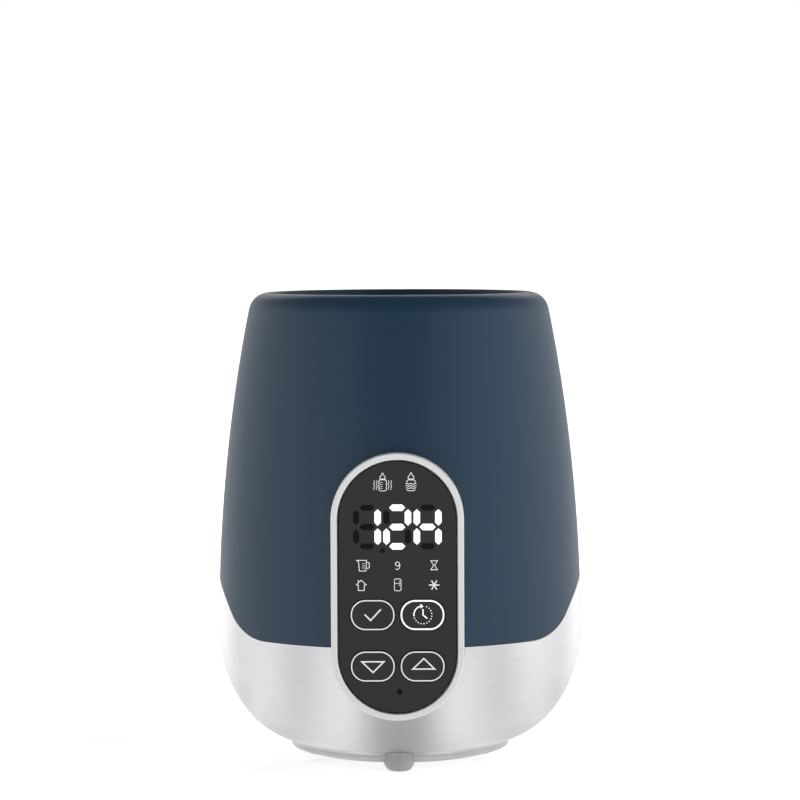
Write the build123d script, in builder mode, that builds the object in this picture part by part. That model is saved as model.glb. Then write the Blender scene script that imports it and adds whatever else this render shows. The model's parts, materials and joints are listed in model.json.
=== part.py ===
"""Bottle warmer: a round tabletop warmer with an open well, a steel base and a flat control panel.

Frame: millimetres, +Z up, origin on the table under the well's axis. The control panel faces -Y.
Each physical piece is one labelled part, written to parts/ as its own STEP file.
"""

import os
from math import asin, cos, degrees, radians, sin, tan

from build123d import *

os.makedirs("parts", exist_ok=True)

# ---------------------------------------------------------------- driving dimensions
BODY_RADIUS = 70.0  # widest radius, at the waist
WAIST_HEIGHT = 50.0  # height of the widest ring
RIM_HEIGHT = 179.2  # top of the rim above the table
SIDE_RADIUS = 625.0  # arc of the tapering side, seen from the front
BOWL_WIDTH = 34.0  # half axes of the quarter ellipse below the waist
BOWL_DEPTH = 44.0
RIM_ROUND = 8.0
MOUTH_RADIUS = 50.0

SHELL_WALL = 2.5
STEEL_WALL = 0.8
BASE_OUTER_INSET = 1.0  # moulded base tub, just inside the steel
BASE_INNER_INSET = 3.4
FIT = 0.15  # side clearance between fixed pieces

SEAM_HEIGHT = 50.0  # edge between the painted shell and the steel
SEAM_KNEE = 59.0  # half width at which the edge turns up
SEAM_ANGLE = 62.0  # its slope beyond the knee, from the horizontal
SEAM_ROUND = 15.0
SEAM_GAP = 0.25
TONGUE_INSET = 2.7
TONGUE_WALL = 1.8
TONGUE_RISE = 4.0

LIP_BOTTOM = 173.0  # lower end of the rim's inner return
LIP_WALL = 2.2

PANEL_WIDTH = 48.7
PANEL_HEIGHT = 98.0
PANEL_CENTRE = 72.9  # height of the panel's middle
PANEL_FACE = 72.2  # distance of the bezel's face in front of the axis
BEZEL_WIDTH = 2.3
BEZEL_BACK = 60.0
FASCIA_FACE = 71.7
FASCIA_BACK = 70.3
FASCIA_GAP = 0.35  # open groove between the bezel and the fascia
WEB_FACE = 68.3  # stiffening web of the bezel, behind the keys
WEB_BACK = 67.3
BOARD_FACE = 62.5
BOARD_BACK = 60.9

KEY_SPACING = 18.2
KEY_ROWS = {"upper": 62.8, "lower": 43.9}
KEY_WIDTH = 16.4
KEY_HEIGHT = 11.4
KEY_CORNER = 5.5
KEY_GAP = 0.2
KEY_FACE = 72.1
KEY_TRAVEL = 0.8
PLUNGER_RADIUS = 2.2
SWITCH_FACE = 66.0
STEM_RADIUS = 1.7

DISPLAY_SIZE = (34.0, 19.0)
DISPLAY_HEIGHT = 95.0
ICON_SIZE = (32.0, 12.5)
ICON_HEIGHT = 77.3

LINER_TOP = 172.8
LINER_TOP_RADIUS = 49.8
WELL_FLOOR = 60.0
WELL_FLOOR_RADIUS = 45.3
LINER_WALL = 2.2
HEATER_OPENING = 38.0

FOOT_CIRCLE = 40.0
FOOT_RADIUS = 5.7
FOOT_ROUND = 3.2
FOOT_PAD = 0.9  # the rubber pad under each moulded foot
FOOT_ANGLES = {"foot_front": -90, "foot_right": 30, "foot_left": 150}
FOOT_STEM_CIRCLE = 37.8
PLATE_BOTTOM = 2.2
PLATE_TOP = 4.4
PLATE_RADIUS = 42.1
PLATE_EDGE_HEIGHT = 4.0  # the underside rises to this at the rim
HEM_RADIUS = 43.4  # turned-down hem of the steel, above the plate's rim
HEM_BOTTOM = 5.85

BASE_SCREW_CIRCLE = 36.4
BASE_SCREW_ANGLE = -30
SHELL_SCREW_CIRCLE = 61.5
LINER_SCREW_CIRCLE = 53.0
LINER_SCREW_ANGLES = (20, 160, 200, 340)
POWER_BOARD_RADIUS = 32.0
POWER_BOARD_BOTTOM = 12.0
POWER_BOARD_TOP = 13.6
POWER_SCREW_CIRCLE = 27.0

INLET_HEIGHT = 37.0
INLET_FACE = 72.2
INLET_FLANGE = (24.0, 16.0)
INLET_BODY = (20.0, 12.4)
SOCKET_SIZE = (14.8, 8.2)
SOCKET_FLOOR = 59.4
INLET_BACK = 52.0
PIN_SPACING = 8.6
PIN_RADIUS = 1.18

BASKET_RADIUS = 43.4
BASKET_WALL = 1.8
BASKET_FLOOR = 62.6
BASKET_TOP = 110.0
HANDLE_TOP = 168.0
HANDLE_WIDTH = 16.0

BOTTOM = (Align.CENTER, Align.CENTER, Align.MIN)
TOP = (Align.CENTER, Align.CENTER, Align.MAX)


# ---------------------------------------------------------------- helpers
def save(builder, name):
    """Labels a finished piece and writes it."""
    builder.part.label = name
    export_step(builder.part, f"parts/{name}.step")


def ring_points(radius, angles, height=0.0):
    """Points on a circle about the axis, at the given angles in degrees."""
    return [(radius * cos(radians(a)), radius * sin(radians(a)), height) for a in angles]


def body_form(inset):
    """The solid inside the outer surface, with that surface moved in by inset."""
    top = RIM_HEIGHT - inset
    side_radius = SIDE_RADIUS - inset
    with BuildPart() as form:
        with BuildSketch(Plane.XZ) as section:
            with BuildLine():
                bowl = EllipticalCenterArc(
                    (BODY_RADIUS - BOWL_WIDTH, WAIST_HEIGHT),
                    BOWL_WIDTH - inset,
                    BOWL_DEPTH - inset,
                    start_angle=270,
                    arc_size=90,
                )
                rise = degrees(asin((top - WAIST_HEIGHT) / side_radius))
                side = CenterArc((BODY_RADIUS - SIDE_RADIUS, WAIST_HEIGHT), side_radius, 0, rise)
                Polyline(side @ 1, (0, top), (0, (bowl @ 0).Y), bowl @ 0)
            make_face()
            rim_corner = section.vertices().group_by(Axis.Y)[-1].sort_by(Axis.X)[-1]
            fillet(rim_corner, RIM_ROUND - inset)
        revolve(axis=Axis.Z)
    return form.part


def below_seam(lift):
    """Everything under the seam line raised by lift, from front to back."""
    far = BODY_RADIUS + 10
    seam_end = SEAM_HEIGHT + (far - SEAM_KNEE) * tan(radians(SEAM_ANGLE)) + lift
    level = SEAM_HEIGHT + lift
    with BuildPart() as region:
        with BuildSketch(Plane.XZ):
            with BuildLine():
                seam = FilletPolyline(
                    (-far, seam_end), (-SEAM_KNEE, level), (SEAM_KNEE, level), (far, seam_end), radius=SEAM_ROUND
                )
                Polyline(seam @ 1, (far, -far), (-far, -far), seam @ 0)
            make_face()
        extrude(amount=far, both=True)
    return region.part


def panel_block(grow, front, back):
    """The panel's pill outline, grown all round, between two distances in front of the axis."""
    with BuildPart() as block:
        with BuildSketch(Plane.XZ.offset(front)):
            with Locations((0, PANEL_CENTRE)):
                SlotOverall(PANEL_HEIGHT + 2 * grow, PANEL_WIDTH + 2 * grow, rotation=90)
        extrude(amount=back - front)
    return block.part


def screw(shank, length, head, head_height):
    """A pan-head screw, its head's underside at the origin and its shank along +Z."""
    slot_depth = 0.55 * head_height
    with BuildPart() as one:
        Cylinder(shank, length, align=BOTTOM)
        Cylinder(head, head_height, align=TOP)
        fillet(one.faces().sort_by(Axis.Z)[0].edges(), 0.3 * head_height)
        with Locations((0, 0, -head_height)):
            Box(1.1 * head, 0.25 * head, slot_depth, align=BOTTOM, mode=Mode.SUBTRACT)
            Box(0.25 * head, 1.1 * head, slot_depth, align=BOTTOM, mode=Mode.SUBTRACT)
        fillet(one.faces().sort_by(Axis.Z)[-1].edges(), 0.35 * shank)
    return one.part


def lead(points, bend):
    """An insulated single wire along a bent route."""
    with BuildPart() as wire:
        with BuildLine() as route:
            FilletPolyline(*points, radius=bend)
        with BuildSketch(Plane(origin=route.line @ 0, z_dir=route.line % 0)):
            Circle(1.1)
        sweep()
    return wire


def inlet_block(size, front, back, grow=0.0):
    """A rounded rectangle at the inlet's height, between two distances behind the axis."""
    with BuildPart() as block:
        with BuildSketch(Plane.XZ.offset(-front)):
            with Locations((0, INLET_HEIGHT)):
                RectangleRounded(size[0] + 2 * grow, size[1] + 2 * grow, 2.5)
        extrude(amount=front - back)
    return block.part


OUTER_FORM = body_form(0)
CLEAR_FORM = body_form(-0.1)
SHELL_INNER_FORM = body_form(SHELL_WALL)
BASE_CAVITY_FORM = body_form(BASE_INNER_INSET)
PANEL_CUTOUT = panel_block(FIT, BODY_RADIUS + 10, 45)
INLET_CUTOUT = inlet_block(INLET_BODY, BODY_RADIUS + 10, 45, grow=FIT)


# ---------------------------------------------------------------- painted upper shell
with BuildPart() as shell_bosses:
    boss_bottom = SEAM_HEIGHT + SEAM_GAP
    boss_top = 70.0
    rib_bottom = SEAM_HEIGHT + TONGUE_RISE + 1.3
    with Locations((0, 0, boss_bottom)):
        with PolarLocations(SHELL_SCREW_CIRCLE, 4, start_angle=45):
            Cylinder(3.5, boss_top - boss_bottom, align=BOTTOM)
    with Locations((0, 0, rib_bottom)):
        with PolarLocations(SHELL_SCREW_CIRCLE, 4, start_angle=45):
            Box(9.0, 2.4, boss_top - rib_bottom, align=(Align.MIN, Align.CENTER, Align.MIN))
    add(body_form(0.5 * SHELL_WALL), mode=Mode.INTERSECT)
    with Locations((0, 0, boss_bottom)):
        with PolarLocations(SHELL_SCREW_CIRCLE, 4, start_angle=45):
            Cylinder(1.35, 14, align=BOTTOM, mode=Mode.SUBTRACT)

with BuildPart() as upper_shell:
    add(OUTER_FORM)
    add(SHELL_INNER_FORM, mode=Mode.SUBTRACT)
    with Locations((0, 0, LIP_BOTTOM)):
        Cylinder(MOUTH_RADIUS + LIP_WALL, RIM_HEIGHT - LIP_BOTTOM - 0.5 * SHELL_WALL, align=BOTTOM)
    with Locations((0, 0, LIP_BOTTOM)):
        Cylinder(MOUTH_RADIUS, 2 * RIM_ROUND, align=BOTTOM, mode=Mode.SUBTRACT)
    add(below_seam(SEAM_GAP), mode=Mode.SUBTRACT)
    add(PANEL_CUTOUT, mode=Mode.SUBTRACT)
    mouth_edge = upper_shell.edges().filter_by(GeomType.CIRCLE).group_by(Axis.Z)[-1].sort_by(SortBy.RADIUS)[0]
    fillet(mouth_edge, 1.0)
    add(shell_bosses.part)
save(upper_shell, "upper_shell")

# ---------------------------------------------------------------- brushed steel cover
STEEL_HOLE = 40.5
with BuildPart() as hem:
    with BuildSketch(Plane.XZ):
        with BuildLine():
            Polyline(
                (HEM_RADIUS, 7.25),
                (PLATE_RADIUS + 0.1, HEM_BOTTOM),
                (PLATE_RADIUS - 0.6, HEM_BOTTOM),
                (PLATE_RADIUS - 0.6, 7.0),
                close=True,
            )
        make_face()
    revolve(axis=Axis.Z)
    with PolarLocations(FOOT_CIRCLE, 3, start_angle=-90):
        Cylinder(FOOT_RADIUS + 0.1, 20, mode=Mode.SUBTRACT)

with BuildPart() as steel_cover:
    add(OUTER_FORM)
    add(body_form(STEEL_WALL), mode=Mode.SUBTRACT)
    add(below_seam(0), mode=Mode.INTERSECT)
    Cylinder(STEEL_HOLE, 20, align=BOTTOM, mode=Mode.SUBTRACT)
    add(PANEL_CUTOUT, mode=Mode.SUBTRACT)
    add(INLET_CUTOUT, mode=Mode.SUBTRACT)
    add(hem.part)
save(steel_cover, "steel_cover")

# ---------------------------------------------------------------- moulded base tub
EAR_TOP = SEAM_HEIGHT
EAR_HEIGHT = 3.0
POST_TOP = WELL_FLOOR - LINER_WALL - 0.1
with BuildPart() as tub_supports:
    with Locations((0, 0, EAR_TOP - EAR_HEIGHT)):
        with PolarLocations(SHELL_SCREW_CIRCLE - 4.5, 4, start_angle=45):
            Box(12, 9, EAR_HEIGHT, align=(Align.MIN, Align.CENTER, Align.MIN))
    with Locations(*ring_points(LINER_SCREW_CIRCLE, LINER_SCREW_ANGLES)):
        Cylinder(4.0, POST_TOP, align=BOTTOM)
    with PolarLocations(BASE_SCREW_CIRCLE, 3, start_angle=BASE_SCREW_ANGLE):
        Cylinder(3.6, 18, align=BOTTOM)
    add(body_form(BASE_OUTER_INSET + 1), mode=Mode.INTERSECT)

with BuildPart() as tongue:
    add(body_form(TONGUE_INSET))
    add(body_form(TONGUE_INSET + TONGUE_WALL), mode=Mode.SUBTRACT)
    add(below_seam(TONGUE_RISE), mode=Mode.INTERSECT)
    add(below_seam(-6), mode=Mode.SUBTRACT)

with BuildPart() as inner_base:
    add(body_form(BASE_OUTER_INSET))
    add(BASE_CAVITY_FORM, mode=Mode.SUBTRACT)
    add(below_seam(-0.2), mode=Mode.INTERSECT)
    add(tongue.part)
    Cylinder(33.5, 12, align=BOTTOM, mode=Mode.SUBTRACT)
    add(tub_supports.part)
    with PolarLocations(SHELL_SCREW_CIRCLE, 4, start_angle=45):
        Cylinder(1.9, EAR_TOP + 1, align=BOTTOM, mode=Mode.SUBTRACT)
    with Locations(*ring_points(LINER_SCREW_CIRCLE, LINER_SCREW_ANGLES, POST_TOP)):
        Cylinder(1.35, 15, align=TOP, mode=Mode.SUBTRACT)
    with PolarLocations(BASE_SCREW_CIRCLE, 3, start_angle=BASE_SCREW_ANGLE):
        Cylinder(1.35, 16, align=BOTTOM, mode=Mode.SUBTRACT)
    with Locations(*ring_points(FOOT_STEM_CIRCLE, FOOT_ANGLES.values())):
        Cylinder(2.1, 12, align=BOTTOM, mode=Mode.SUBTRACT)
    add(PANEL_CUTOUT, mode=Mode.SUBTRACT)
    add(INLET_CUTOUT, mode=Mode.SUBTRACT)
save(inner_base, "inner_base")

# ---------------------------------------------------------------- base plate and feet
SCREW_BOSS_TOP = BASE_OUTER_INSET + WAIST_HEIGHT - BOWL_DEPTH - 0.05
with BuildPart() as foot_form:
    with Locations((0, -FOOT_CIRCLE, 0)):
        Cylinder(FOOT_RADIUS, 12, align=BOTTOM)
    fillet(foot_form.edges().sort_by(Axis.Z)[0], FOOT_ROUND)

FLARE_ROUND = 1.6
with BuildPart() as foot_flare:
    with BuildSketch(Plane.XZ.offset(FOOT_CIRCLE)):
        with BuildLine():
            hollow = CenterArc((FOOT_RADIUS + FLARE_ROUND, PLATE_EDGE_HEIGHT - FLARE_ROUND), FLARE_ROUND, 90, 90)
            Polyline(hollow @ 1, (FOOT_RADIUS - 1, (hollow @ 1).Y), (FOOT_RADIUS - 1, PLATE_EDGE_HEIGHT), hollow @ 0)
        make_face()
    revolve(axis=Axis((0, -FOOT_CIRCLE, 0), (0, 0, 1)))
    Cylinder(PLATE_RADIUS - 0.3, 20, mode=Mode.INTERSECT)

with BuildPart() as moulded_feet:
    with PolarLocations(0, 3):
        add(foot_form.part)
        add(foot_flare.part)
    add(CLEAR_FORM, mode=Mode.SUBTRACT)
    Cylinder(60, FOOT_PAD, align=BOTTOM, mode=Mode.SUBTRACT)

with BuildPart() as base_plate:
    with BuildSketch(Plane.XZ) as plate_section:
        with BuildLine():
            Polyline(
                (0, PLATE_BOTTOM),
                (PLATE_RADIUS - 6.3, PLATE_BOTTOM),
                (PLATE_RADIUS, PLATE_EDGE_HEIGHT),
                (PLATE_RADIUS, HEM_BOTTOM - 0.05),
                (STEEL_HOLE, HEM_BOTTOM - 0.05),
                (STEEL_HOLE - 1.5, PLATE_TOP),
                (0, PLATE_TOP),
                close=True,
            )
        make_face()
        rim_corner = plate_section.vertices().sort_by_distance((PLATE_RADIUS, 0, PLATE_EDGE_HEIGHT))[0]
        fillet(rim_corner, 1.3)
    revolve(axis=Axis.Z)
    add(moulded_feet.part)
    with Locations((0, 0, PLATE_TOP)):
        with PolarLocations(BASE_SCREW_CIRCLE, 3, start_angle=BASE_SCREW_ANGLE):
            Cylinder(3.8, SCREW_BOSS_TOP - PLATE_TOP, align=BOTTOM)
        with PolarLocations(POWER_SCREW_CIRCLE, 3, start_angle=30):
            Cylinder(3.0, POWER_BOARD_BOTTOM - PLATE_TOP, align=BOTTOM)
    with PolarLocations(BASE_SCREW_CIRCLE, 3, start_angle=BASE_SCREW_ANGLE):
        Cylinder(1.7, 10, align=BOTTOM, mode=Mode.SUBTRACT)
        Cylinder(3.2, PLATE_BOTTOM + 2.6, align=BOTTOM, mode=Mode.SUBTRACT)
    with Locations((0, 0, POWER_BOARD_BOTTOM)):
        with PolarLocations(POWER_SCREW_CIRCLE, 3, start_angle=30):
            Cylinder(1.0, 8, align=TOP, mode=Mode.SUBTRACT)
    with Locations(*ring_points(FOOT_STEM_CIRCLE, FOOT_ANGLES.values())):
        Cylinder(2.1, 12, align=BOTTOM, mode=Mode.SUBTRACT)
    with BuildSketch(Plane.XY):
        with GridLocations(17, 5, 2, 7):
            SlotOverall(14, 2)
    extrude(amount=PLATE_TOP + 1, mode=Mode.SUBTRACT)
save(base_plate, "base_plate")

for foot_name, angle in FOOT_ANGLES.items():
    with BuildPart() as foot:
        with Locations(Rotation(0, 0, angle + 90)):
            add(foot_form.part)
        Cylinder(60, FOOT_PAD - 0.05, align=BOTTOM, mode=Mode.INTERSECT)
        with Locations(*ring_points(FOOT_STEM_CIRCLE, [angle], 0.5 * FOOT_PAD)):
            Cylinder(2.0, 10.5, align=BOTTOM)
    save(foot, foot_name)

# ---------------------------------------------------------------- control panel
BOARD_SCREWS = [(-13.5, 107.5), (13.5, 107.5), (-9.5, 33.5), (9.5, 33.5)]
LAMPS = [(-5.2, 111.5), (5.2, 111.5), (0, 34.8)]
KEYS = {
    "ok": (-KEY_SPACING / 2, KEY_ROWS["upper"]),
    "timer": (KEY_SPACING / 2, KEY_ROWS["upper"]),
    "down": (-KEY_SPACING / 2, KEY_ROWS["lower"]),
    "up": (KEY_SPACING / 2, KEY_ROWS["lower"]),
}

with BuildPart() as panel_bezel:
    add(panel_block(0, PANEL_FACE, BEZEL_BACK))
    add(panel_block(-BEZEL_WIDTH, PANEL_FACE + 1, FASCIA_BACK), mode=Mode.SUBTRACT)
    fillet(panel_bezel.faces().sort_by(Axis.Y)[0].edges(), 0.45)
    add(panel_block(-BEZEL_WIDTH - 1.5, PANEL_FACE, WEB_FACE), mode=Mode.SUBTRACT)
    add(panel_block(-BEZEL_WIDTH, WEB_BACK, BEZEL_BACK - 1), mode=Mode.SUBTRACT)
    with BuildSketch(Plane.XZ.offset(WEB_BACK)):
        with Locations(*BOARD_SCREWS):
            Circle(2.6)
    extrude(amount=BOARD_FACE + 0.05 - WEB_BACK)
    with BuildSketch(Plane.XZ.offset(WEB_FACE + 1)):
        with Locations((0, DISPLAY_HEIGHT)):
            Rectangle(DISPLAY_SIZE[0] + 0.4, DISPLAY_SIZE[1] + 0.4)
        with Locations((0, ICON_HEIGHT)):
            Rectangle(ICON_SIZE[0] + 0.4, ICON_SIZE[1] + 0.4)
        with Locations(*KEYS.values()):
            Circle(PLUNGER_RADIUS + 0.4)
        with Locations(*LAMPS):
            Circle(1.8)
    extrude(amount=-3, mode=Mode.SUBTRACT)
    with BuildSketch(Plane.XZ.offset(BOARD_FACE)):
        with Locations(*BOARD_SCREWS):
            Circle(0.95)
    extrude(amount=4, mode=Mode.SUBTRACT)
save(panel_bezel, "panel_bezel")

with BuildPart() as fascia:
    add(panel_block(-BEZEL_WIDTH - FASCIA_GAP, FASCIA_FACE, FASCIA_BACK))
    with BuildSketch(Plane.XZ.offset(FASCIA_FACE)):
        with Locations(*KEYS.values()):
            RectangleRounded(KEY_WIDTH + 2 * KEY_GAP, KEY_HEIGHT + 2 * KEY_GAP, KEY_CORNER + KEY_GAP)
    extrude(amount=FASCIA_BACK - FASCIA_FACE, mode=Mode.SUBTRACT)
save(fascia, "fascia")

FLANGE_FACE = FASCIA_BACK - 0.2
FLANGE_BACK = FLANGE_FACE - 0.8
STEM_FACE = SWITCH_FACE + 1.0
STEM_BACK = 64.4
for key_name, (key_x, key_z) in KEYS.items():
    with BuildPart() as key:
        with BuildSketch(Plane.XZ.offset(FLANGE_BACK)):
            with Locations((key_x, key_z)):
                RectangleRounded(KEY_WIDTH + 1.4, KEY_HEIGHT + 1.4, KEY_CORNER + 0.5)
        extrude(amount=FLANGE_FACE - FLANGE_BACK)
        with BuildSketch(Plane.XZ.offset(FLANGE_FACE)):
            with Locations((key_x, key_z)):
                RectangleRounded(KEY_WIDTH, KEY_HEIGHT, KEY_CORNER)
        extrude(amount=KEY_FACE - FLANGE_FACE)
        fillet(key.faces().sort_by(Axis.Y)[0].edges(), 0.35)
        with BuildSketch(Plane.XZ.offset(STEM_FACE + 0.05)):
            with Locations((key_x, key_z)):
                Circle(PLUNGER_RADIUS)
        extrude(amount=FLANGE_BACK - STEM_FACE - 0.05)
    save(key, f"{key_name}_key")

    with BuildPart() as stem:
        with BuildSketch(Plane.XZ.offset(STEM_BACK)):
            with Locations((key_x, key_z)):
                Circle(STEM_RADIUS)
        extrude(amount=STEM_FACE - STEM_BACK)
    save(stem, f"{key_name}_switch_stem")

    with BuildPart() as switch_body:
        with BuildSketch(Plane.XZ.offset(BOARD_FACE + 0.02)):
            with Locations((key_x, key_z)):
                RectangleRounded(6.2, 6.2, 0.6)
        extrude(amount=SWITCH_FACE - BOARD_FACE - 0.02)
        with BuildSketch(Plane.XZ.offset(STEM_BACK - KEY_TRAVEL - 0.2)):
            with Locations((key_x, key_z)):
                Circle(STEM_RADIUS + 0.08)
        extrude(amount=5, mode=Mode.SUBTRACT)
    save(switch_body, f"{key_name}_switch_body")

# ---------------------------------------------------------------- control board and its parts
with BuildPart() as control_board:
    add(panel_block(-BEZEL_WIDTH - 2.3, BOARD_FACE, BOARD_BACK))
    with BuildSketch(Plane.XZ.offset(BOARD_FACE)):
        with Locations(*BOARD_SCREWS):
            Circle(1.2)
    extrude(amount=BOARD_BACK - BOARD_FACE, mode=Mode.SUBTRACT)
save(control_board, "control_board")

with BuildPart() as display_module:
    with BuildSketch(Plane.XZ.offset(BOARD_FACE + 0.02)):
        with Locations((0, DISPLAY_HEIGHT)):
            Rectangle(*DISPLAY_SIZE)
    extrude(amount=FASCIA_BACK - 0.1 - BOARD_FACE)
save(display_module, "display_module")

with BuildPart() as icon_light_guide:
    with BuildSketch(Plane.XZ.offset(66.8)):
        with Locations((0, ICON_HEIGHT)):
            RectangleRounded(*ICON_SIZE, 0.8)
    extrude(amount=FASCIA_BACK - 0.1 - 66.8)
save(icon_light_guide, "icon_light_guide")

with BuildPart() as indicator_leds:
    with BuildSketch(Plane.XZ.offset(BOARD_FACE + 0.02)):
        with Locations((0, ICON_HEIGHT)):
            with GridLocations(12.5, 6.4, 3, 2):
                Rectangle(3.2, 2.8)
        with Locations(*LAMPS):
            Rectangle(3.2, 2.8)
    extrude(amount=1.1)
save(indicator_leds, "indicator_leds")

with BuildPart() as microcontroller:
    with BuildSketch(Plane.XZ.offset(BOARD_BACK - 1.5)):
        with Locations((0, 82)):
            Rectangle(10, 10)
    extrude(amount=1.45)
save(microcontroller, "microcontroller")

with BuildPart() as buzzer:
    with BuildSketch(Plane.XZ.offset(BOARD_BACK - 4.4)):
        with Locations((9, 58)):
            Circle(4.5)
    extrude(amount=4.35)
    with BuildSketch(Plane.XZ.offset(BOARD_BACK - 4.4)):
        with Locations((9, 58)):
            Circle(0.9)
    extrude(amount=2, mode=Mode.SUBTRACT)
save(buzzer, "buzzer")

CONNECTOR_WIDTH = 13.0
RIBBON_FRONT = 57.5
with BuildPart() as control_connector:
    with BuildSketch(Plane.XZ.offset(BOARD_BACK - 6)):
        with Locations((0, 39)):
            Rectangle(CONNECTOR_WIDTH, 6)
    extrude(amount=5.95)
save(control_connector, "control_connector")

RIBBON_BACK = 20.0
RIBBON_LEVEL = 25.0
POWER_CONNECTOR_TOP = POWER_BOARD_TOP + 6
with BuildPart() as power_connector:
    with Locations((0, -RIBBON_BACK, POWER_BOARD_TOP + 0.02)):
        Box(CONNECTOR_WIDTH - 1, 5, 5.98, align=BOTTOM)
save(power_connector, "power_connector")

with BuildPart() as ribbon_cable:
    with BuildSketch(Plane.YZ.offset(-5)):
        with BuildLine() as ribbon_route:
            FilletPolyline(
                (-RIBBON_FRONT, 35.95),
                (-RIBBON_FRONT, RIBBON_LEVEL),
                (-RIBBON_BACK, RIBBON_LEVEL),
                (-RIBBON_BACK, POWER_CONNECTOR_TOP + 0.05),
                radius=3,
            )
        trace(line_width=0.9)
    extrude(amount=10)
save(ribbon_cable, "ribbon_cable")

BOARD_SCREW = screw(0.9, 5.0, 1.9, 1.3)
with BuildPart() as control_board_screws:
    with Locations(*[Location((x, -BOARD_BACK + 0.05, z), (90, 0, 0)) for x, z in BOARD_SCREWS]):
        add(BOARD_SCREW)
save(control_board_screws, "control_board_screws")

# ---------------------------------------------------------------- power board in the base
with BuildPart() as power_board:
    with Locations((0, 0, POWER_BOARD_BOTTOM)):
        Cylinder(POWER_BOARD_RADIUS, POWER_BOARD_TOP - POWER_BOARD_BOTTOM, align=BOTTOM)
    with PolarLocations(POWER_SCREW_CIRCLE, 3, start_angle=30):
        Cylinder(1.4, 40, mode=Mode.SUBTRACT)
save(power_board, "power_board")

with BuildPart() as power_board_screws:
    with Locations(*[Location(p, (180, 0, 0)) for p in ring_points(27, (30, 150, 270), POWER_BOARD_TOP)]):
        add(screw(0.95, 8, 2.3, 1.5))
save(power_board_screws, "power_board_screws")

ON_BOARD = POWER_BOARD_TOP + 0.02
with BuildPart() as heater_relay:
    with Locations((-10.5, 7, ON_BOARD)):
        Box(16, 12, 15, align=BOTTOM)
    fillet(heater_relay.edges().filter_by(Axis.Z), 0.8)
    fillet(heater_relay.faces().sort_by(Axis.Z)[-1].edges(), 0.6)
save(heater_relay, "heater_relay")

with BuildPart() as power_transformer:
    with Locations((11, 4, ON_BOARD)):
        Box(17, 15, 4, align=BOTTOM)
        Box(12, 15, 15, align=BOTTOM)
        Box(17, 9, 13, align=BOTTOM)
    fillet(power_transformer.edges().filter_by(Axis.Z), 0.5)
save(power_transformer, "power_transformer")

with BuildPart() as bulk_capacitor:
    with Locations((-16, -14.5, ON_BOARD)):
        Cylinder(6, 19, align=BOTTOM)
    fillet(bulk_capacitor.edges().sort_by(Axis.Z)[-1], 0.8)
save(bulk_capacitor, "bulk_capacitor")

with BuildPart() as filter_capacitor:
    with Locations((14, -17, ON_BOARD)):
        Box(14.5, 6.5, 11, align=BOTTOM)
    fillet(filter_capacitor.edges().filter_by(Axis.Z), 0.8)
save(filter_capacitor, "filter_capacitor")

with BuildPart() as mains_fuse:
    with Locations(Location((0, -8.2, ON_BOARD + 4), (0, 90, 0))):
        Cylinder(2.2, 17)
        with Locations((0, 0, -7), (0, 0, 7)):
            Cylinder(2.6, 5)
save(mains_fuse, "mains_fuse")

TERMINAL_TOP = ON_BOARD + 10
TERMINAL_Y = 25.0
HEATER_POLE = 8.25
MAINS_POLE = 2.75
with BuildPart() as terminal_block:
    with Locations((0, TERMINAL_Y, ON_BOARD)):
        Box(22, 8, 10, align=BOTTOM)
    with Locations((0, TERMINAL_Y - 4, ON_BOARD + 6)):
        with GridLocations(2 * HEATER_POLE, 1, 2, 1):
            Box(3, 2, 3.2, align=BOTTOM, mode=Mode.SUBTRACT)
    with Locations((0, TERMINAL_Y + 4, ON_BOARD + 6)):
        with GridLocations(2 * MAINS_POLE, 1, 2, 1):
            Box(3, 2, 3.2, align=BOTTOM, mode=Mode.SUBTRACT)
    with Locations((0, TERMINAL_Y, TERMINAL_TOP)):
        with GridLocations(2 * MAINS_POLE, 1, 4, 1):
            Cylinder(1.5, 1.5, align=TOP, mode=Mode.SUBTRACT)
save(terminal_block, "terminal_block")

# ---------------------------------------------------------------- mains inlet
with BuildPart() as power_inlet:
    add(inlet_block(INLET_FLANGE, INLET_FACE, 60))
    fillet(power_inlet.faces().sort_by(Axis.Y)[-1].edges(), 0.7)
    add(CLEAR_FORM, mode=Mode.SUBTRACT)
    add(inlet_block(INLET_BODY, INLET_FACE - 1.5, INLET_BACK))
    with BuildSketch(Plane.XZ.offset(-INLET_FACE)):
        with Locations((0, INLET_HEIGHT)):
            SlotOverall(*SOCKET_SIZE)
    extrude(amount=INLET_FACE - SOCKET_FLOOR, mode=Mode.SUBTRACT)
    with BuildSketch(Plane.XZ.offset(-INLET_FACE)):
        with Locations((-PIN_SPACING / 2, INLET_HEIGHT), (PIN_SPACING / 2, INLET_HEIGHT)):
            Circle(PIN_RADIUS + 0.02)
    extrude(amount=40, mode=Mode.SUBTRACT)
save(power_inlet, "power_inlet")

with BuildPart() as inlet_pins:
    with BuildSketch(Plane.XZ.offset(-INLET_BACK + 4)):
        with Locations((-PIN_SPACING / 2, INLET_HEIGHT), (PIN_SPACING / 2, INLET_HEIGHT)):
            Circle(PIN_RADIUS)
    extrude(amount=-(INLET_FACE - 2.3 - INLET_BACK + 4))
    fillet(inlet_pins.edges().group_by(Axis.Y)[-1], 0.8)
save(inlet_pins, "inlet_pins")

ENTRY_HEIGHT = ON_BOARD + 7.6
with BuildPart() as mains_leads:
    for side in (-1, 1):
        add(
            lead(
                [
                    (side * PIN_SPACING / 2, INLET_BACK - 4.05, INLET_HEIGHT),
                    (side * PIN_SPACING / 2, 36, INLET_HEIGHT),
                    (side * MAINS_POLE, 36, ENTRY_HEIGHT),
                    (side * MAINS_POLE, TERMINAL_Y + 3.1, ENTRY_HEIGHT),
                ],
                3,
            )
        )
save(mains_leads, "mains_leads")

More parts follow.
